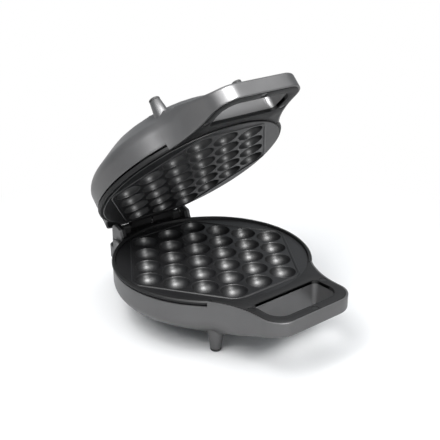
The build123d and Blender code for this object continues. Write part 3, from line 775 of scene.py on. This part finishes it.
def sunk(point):
    """A point of the upper half's frame screws, set back with the frame."""
    point.z -= SET_BACK["lid"]
    return point


def proud(point):
    """A point of the upper half's lamps, moved out with the casing's flat top."""
    point.z -= DEEPER["lid"]
    return point


for half in ("base", "lid"):
    smooth_plate(half)
    softened(half + "_frame", half + "_frame_moulding", width=0.0003, reshape=frame_shape(half))
    deck_cover(half)
    casing(half)
ear_shade_halves()
softened("lid_handle_screws", "lid_handle_screw_heads", width=0.0002, reshape=sunk)
for lamp in ("power_lamp", "ready_lamp"):
    softened("lid_" + lamp, lamp + "_lens", width=0.0003, reshape=proud)


# Stage

AIM = (0.0, 0.0, 0.09)
SURROUND_LIGHT = 0.38
FLOOR_REACH = 6.0
FADE_FROM = 0.16
FADE_TO = 0.42


def area_light(name, towards, distance, size, power, aim, shine_only=False):
    """A soft light facing aim from the direction towards it; shine_only leaves it out of diffuse light."""
    data = bpy.data.lights.new(name, "AREA")
    data.shape = "RECTANGLE"
    data.size, data.size_y = size
    data.energy = power
    light = bpy.data.objects.new(name, data)
    direction = Vector(towards).normalized()
    light.location = Vector(aim) + direction * distance
    light.rotation_euler = direction.to_track_quat("Z", "Y").to_euler()
    light.visible_diffuse = not shine_only
    bpy.context.scene.collection.objects.link(light)


area_light("key_softbox", (-0.085, -0.476, 0.874), 1.2, (0.36, 0.36), 52.0, AIM, True)
area_light("front_softbox", (-0.195, -0.934, 0.294), 1.3, (0.28, 0.28), 22.0, AIM, True)
area_light("left_softbox", (-0.60, -0.15, 0.80), 1.4, (0.7, 0.9), 14.0, AIM)
area_light("top_softbox", (0.05, 0.05, 1.0), 1.5, (1.8, 1.8), 19.0, AIM)


def white_surround():
    """White behind the object for the camera, softer as a light and in reflections."""
    world = bpy.data.worlds.new("surround")
    bpy.context.scene.world = world
    world.use_nodes = True
    nodes, links = world.node_tree.nodes, world.node_tree.links
    nodes.clear()
    paths = nodes.new("ShaderNodeLightPath")
    seen = nodes.new("ShaderNodeMath")
    seen.operation = "MAXIMUM"
    links.new(paths.outputs["Is Camera Ray"], seen.inputs[0])
    links.new(paths.outputs["Is Transmission Ray"], seen.inputs[1])
    dim = nodes.new("ShaderNodeBackground")
    dim.inputs["Color"].default_value = (0.9, 0.95, 1.0, 1)
    dim.inputs["Strength"].default_value = SURROUND_LIGHT
    white = nodes.new("ShaderNodeBackground")
    white.inputs["Color"].default_value = (1, 1, 1, 1)
    white.inputs["Strength"].default_value = 1.0
    mix = nodes.new("ShaderNodeMixShader")
    out = nodes.new("ShaderNodeOutputWorld")
    links.new(seen.outputs[0], mix.inputs["Fac"])
    links.new(dim.outputs[0], mix.inputs[1])
    links.new(white.outputs[0], mix.inputs[2])
    links.new(mix.outputs[0], out.inputs["Surface"])


def pale_floor():
    """A white table top that keeps the shadow and fades to plain white further out."""
    mesh = bpy.data.meshes.new("floor")
    corners = [(sx * FLOOR_REACH, sy * FLOOR_REACH, 0) for sx, sy in ((-1, -1), (1, -1), (1, 1), (-1, 1))]
    mesh.from_pydata(corners, [], [(0, 1, 2, 3)])
    material, nodes, links = node_material("floor_white")
    nodes.clear()
    place = nodes.new("ShaderNodeTexCoord")
    length = nodes.new("ShaderNodeVectorMath")
    length.operation = "LENGTH"
    links.new(place.outputs["Object"], length.inputs[0])
    far = nodes.new("ShaderNodeMapRange")
    far.inputs["From Min"].default_value = FADE_FROM
    far.inputs["From Max"].default_value = FADE_TO
    far.interpolation_type = "SMOOTHSTEP"
    links.new(length.outputs["Value"], far.inputs["Value"])
    paths = nodes.new("ShaderNodeLightPath")
    seen = nodes.new("ShaderNodeMath")
    seen.operation = "MAXIMUM"
    links.new(paths.outputs["Is Camera Ray"], seen.inputs[0])
    links.new(paths.outputs["Is Glossy Ray"], seen.inputs[1])
    amount = nodes.new("ShaderNodeMath")
    amount.operation = "MULTIPLY"
    links.new(seen.outputs[0], amount.inputs[0])
    links.new(far.outputs["Result"], amount.inputs[1])
    matte = nodes.new("ShaderNodeBsdfDiffuse")
    matte.inputs["Color"].default_value = (0.93, 0.93, 0.93, 1)
    glow = nodes.new("ShaderNodeEmission")
    glow.inputs["Strength"].default_value = 1.0
    mix = nodes.new("ShaderNodeMixShader")
    out = nodes.new("ShaderNodeOutputMaterial")
    links.new(amount.outputs[0], mix.inputs["Fac"])
    links.new(matte.outputs[0], mix.inputs[1])
    links.new(glow.outputs[0], mix.inputs[2])
    links.new(mix.outputs[0], out.inputs["Surface"])
    mesh.materials.append(material)
    floor = bpy.data.objects.new("floor", mesh)
    bpy.context.scene.collection.objects.link(floor)


white_surround()
pale_floor()

lens = bpy.data.cameras.new("camera")
lens.lens = CAMERA_LENS
lens.sensor_width = 36.0
lens.clip_start = 0.01
camera = bpy.data.objects.new("camera", lens)
back = CAMERA_BACK.normalized()
right = CAMERA_RIGHT.normalized()
up = back.cross(right)
camera.matrix_world = Matrix.Translation(CAMERA_PLACE) @ Matrix((right, up, back)).transposed().to_4x4()
bpy.context.scene.collection.objects.link(camera)
bpy.context.scene.camera = camera
bpy.context.scene.view_settings.view_transform = "Standard"
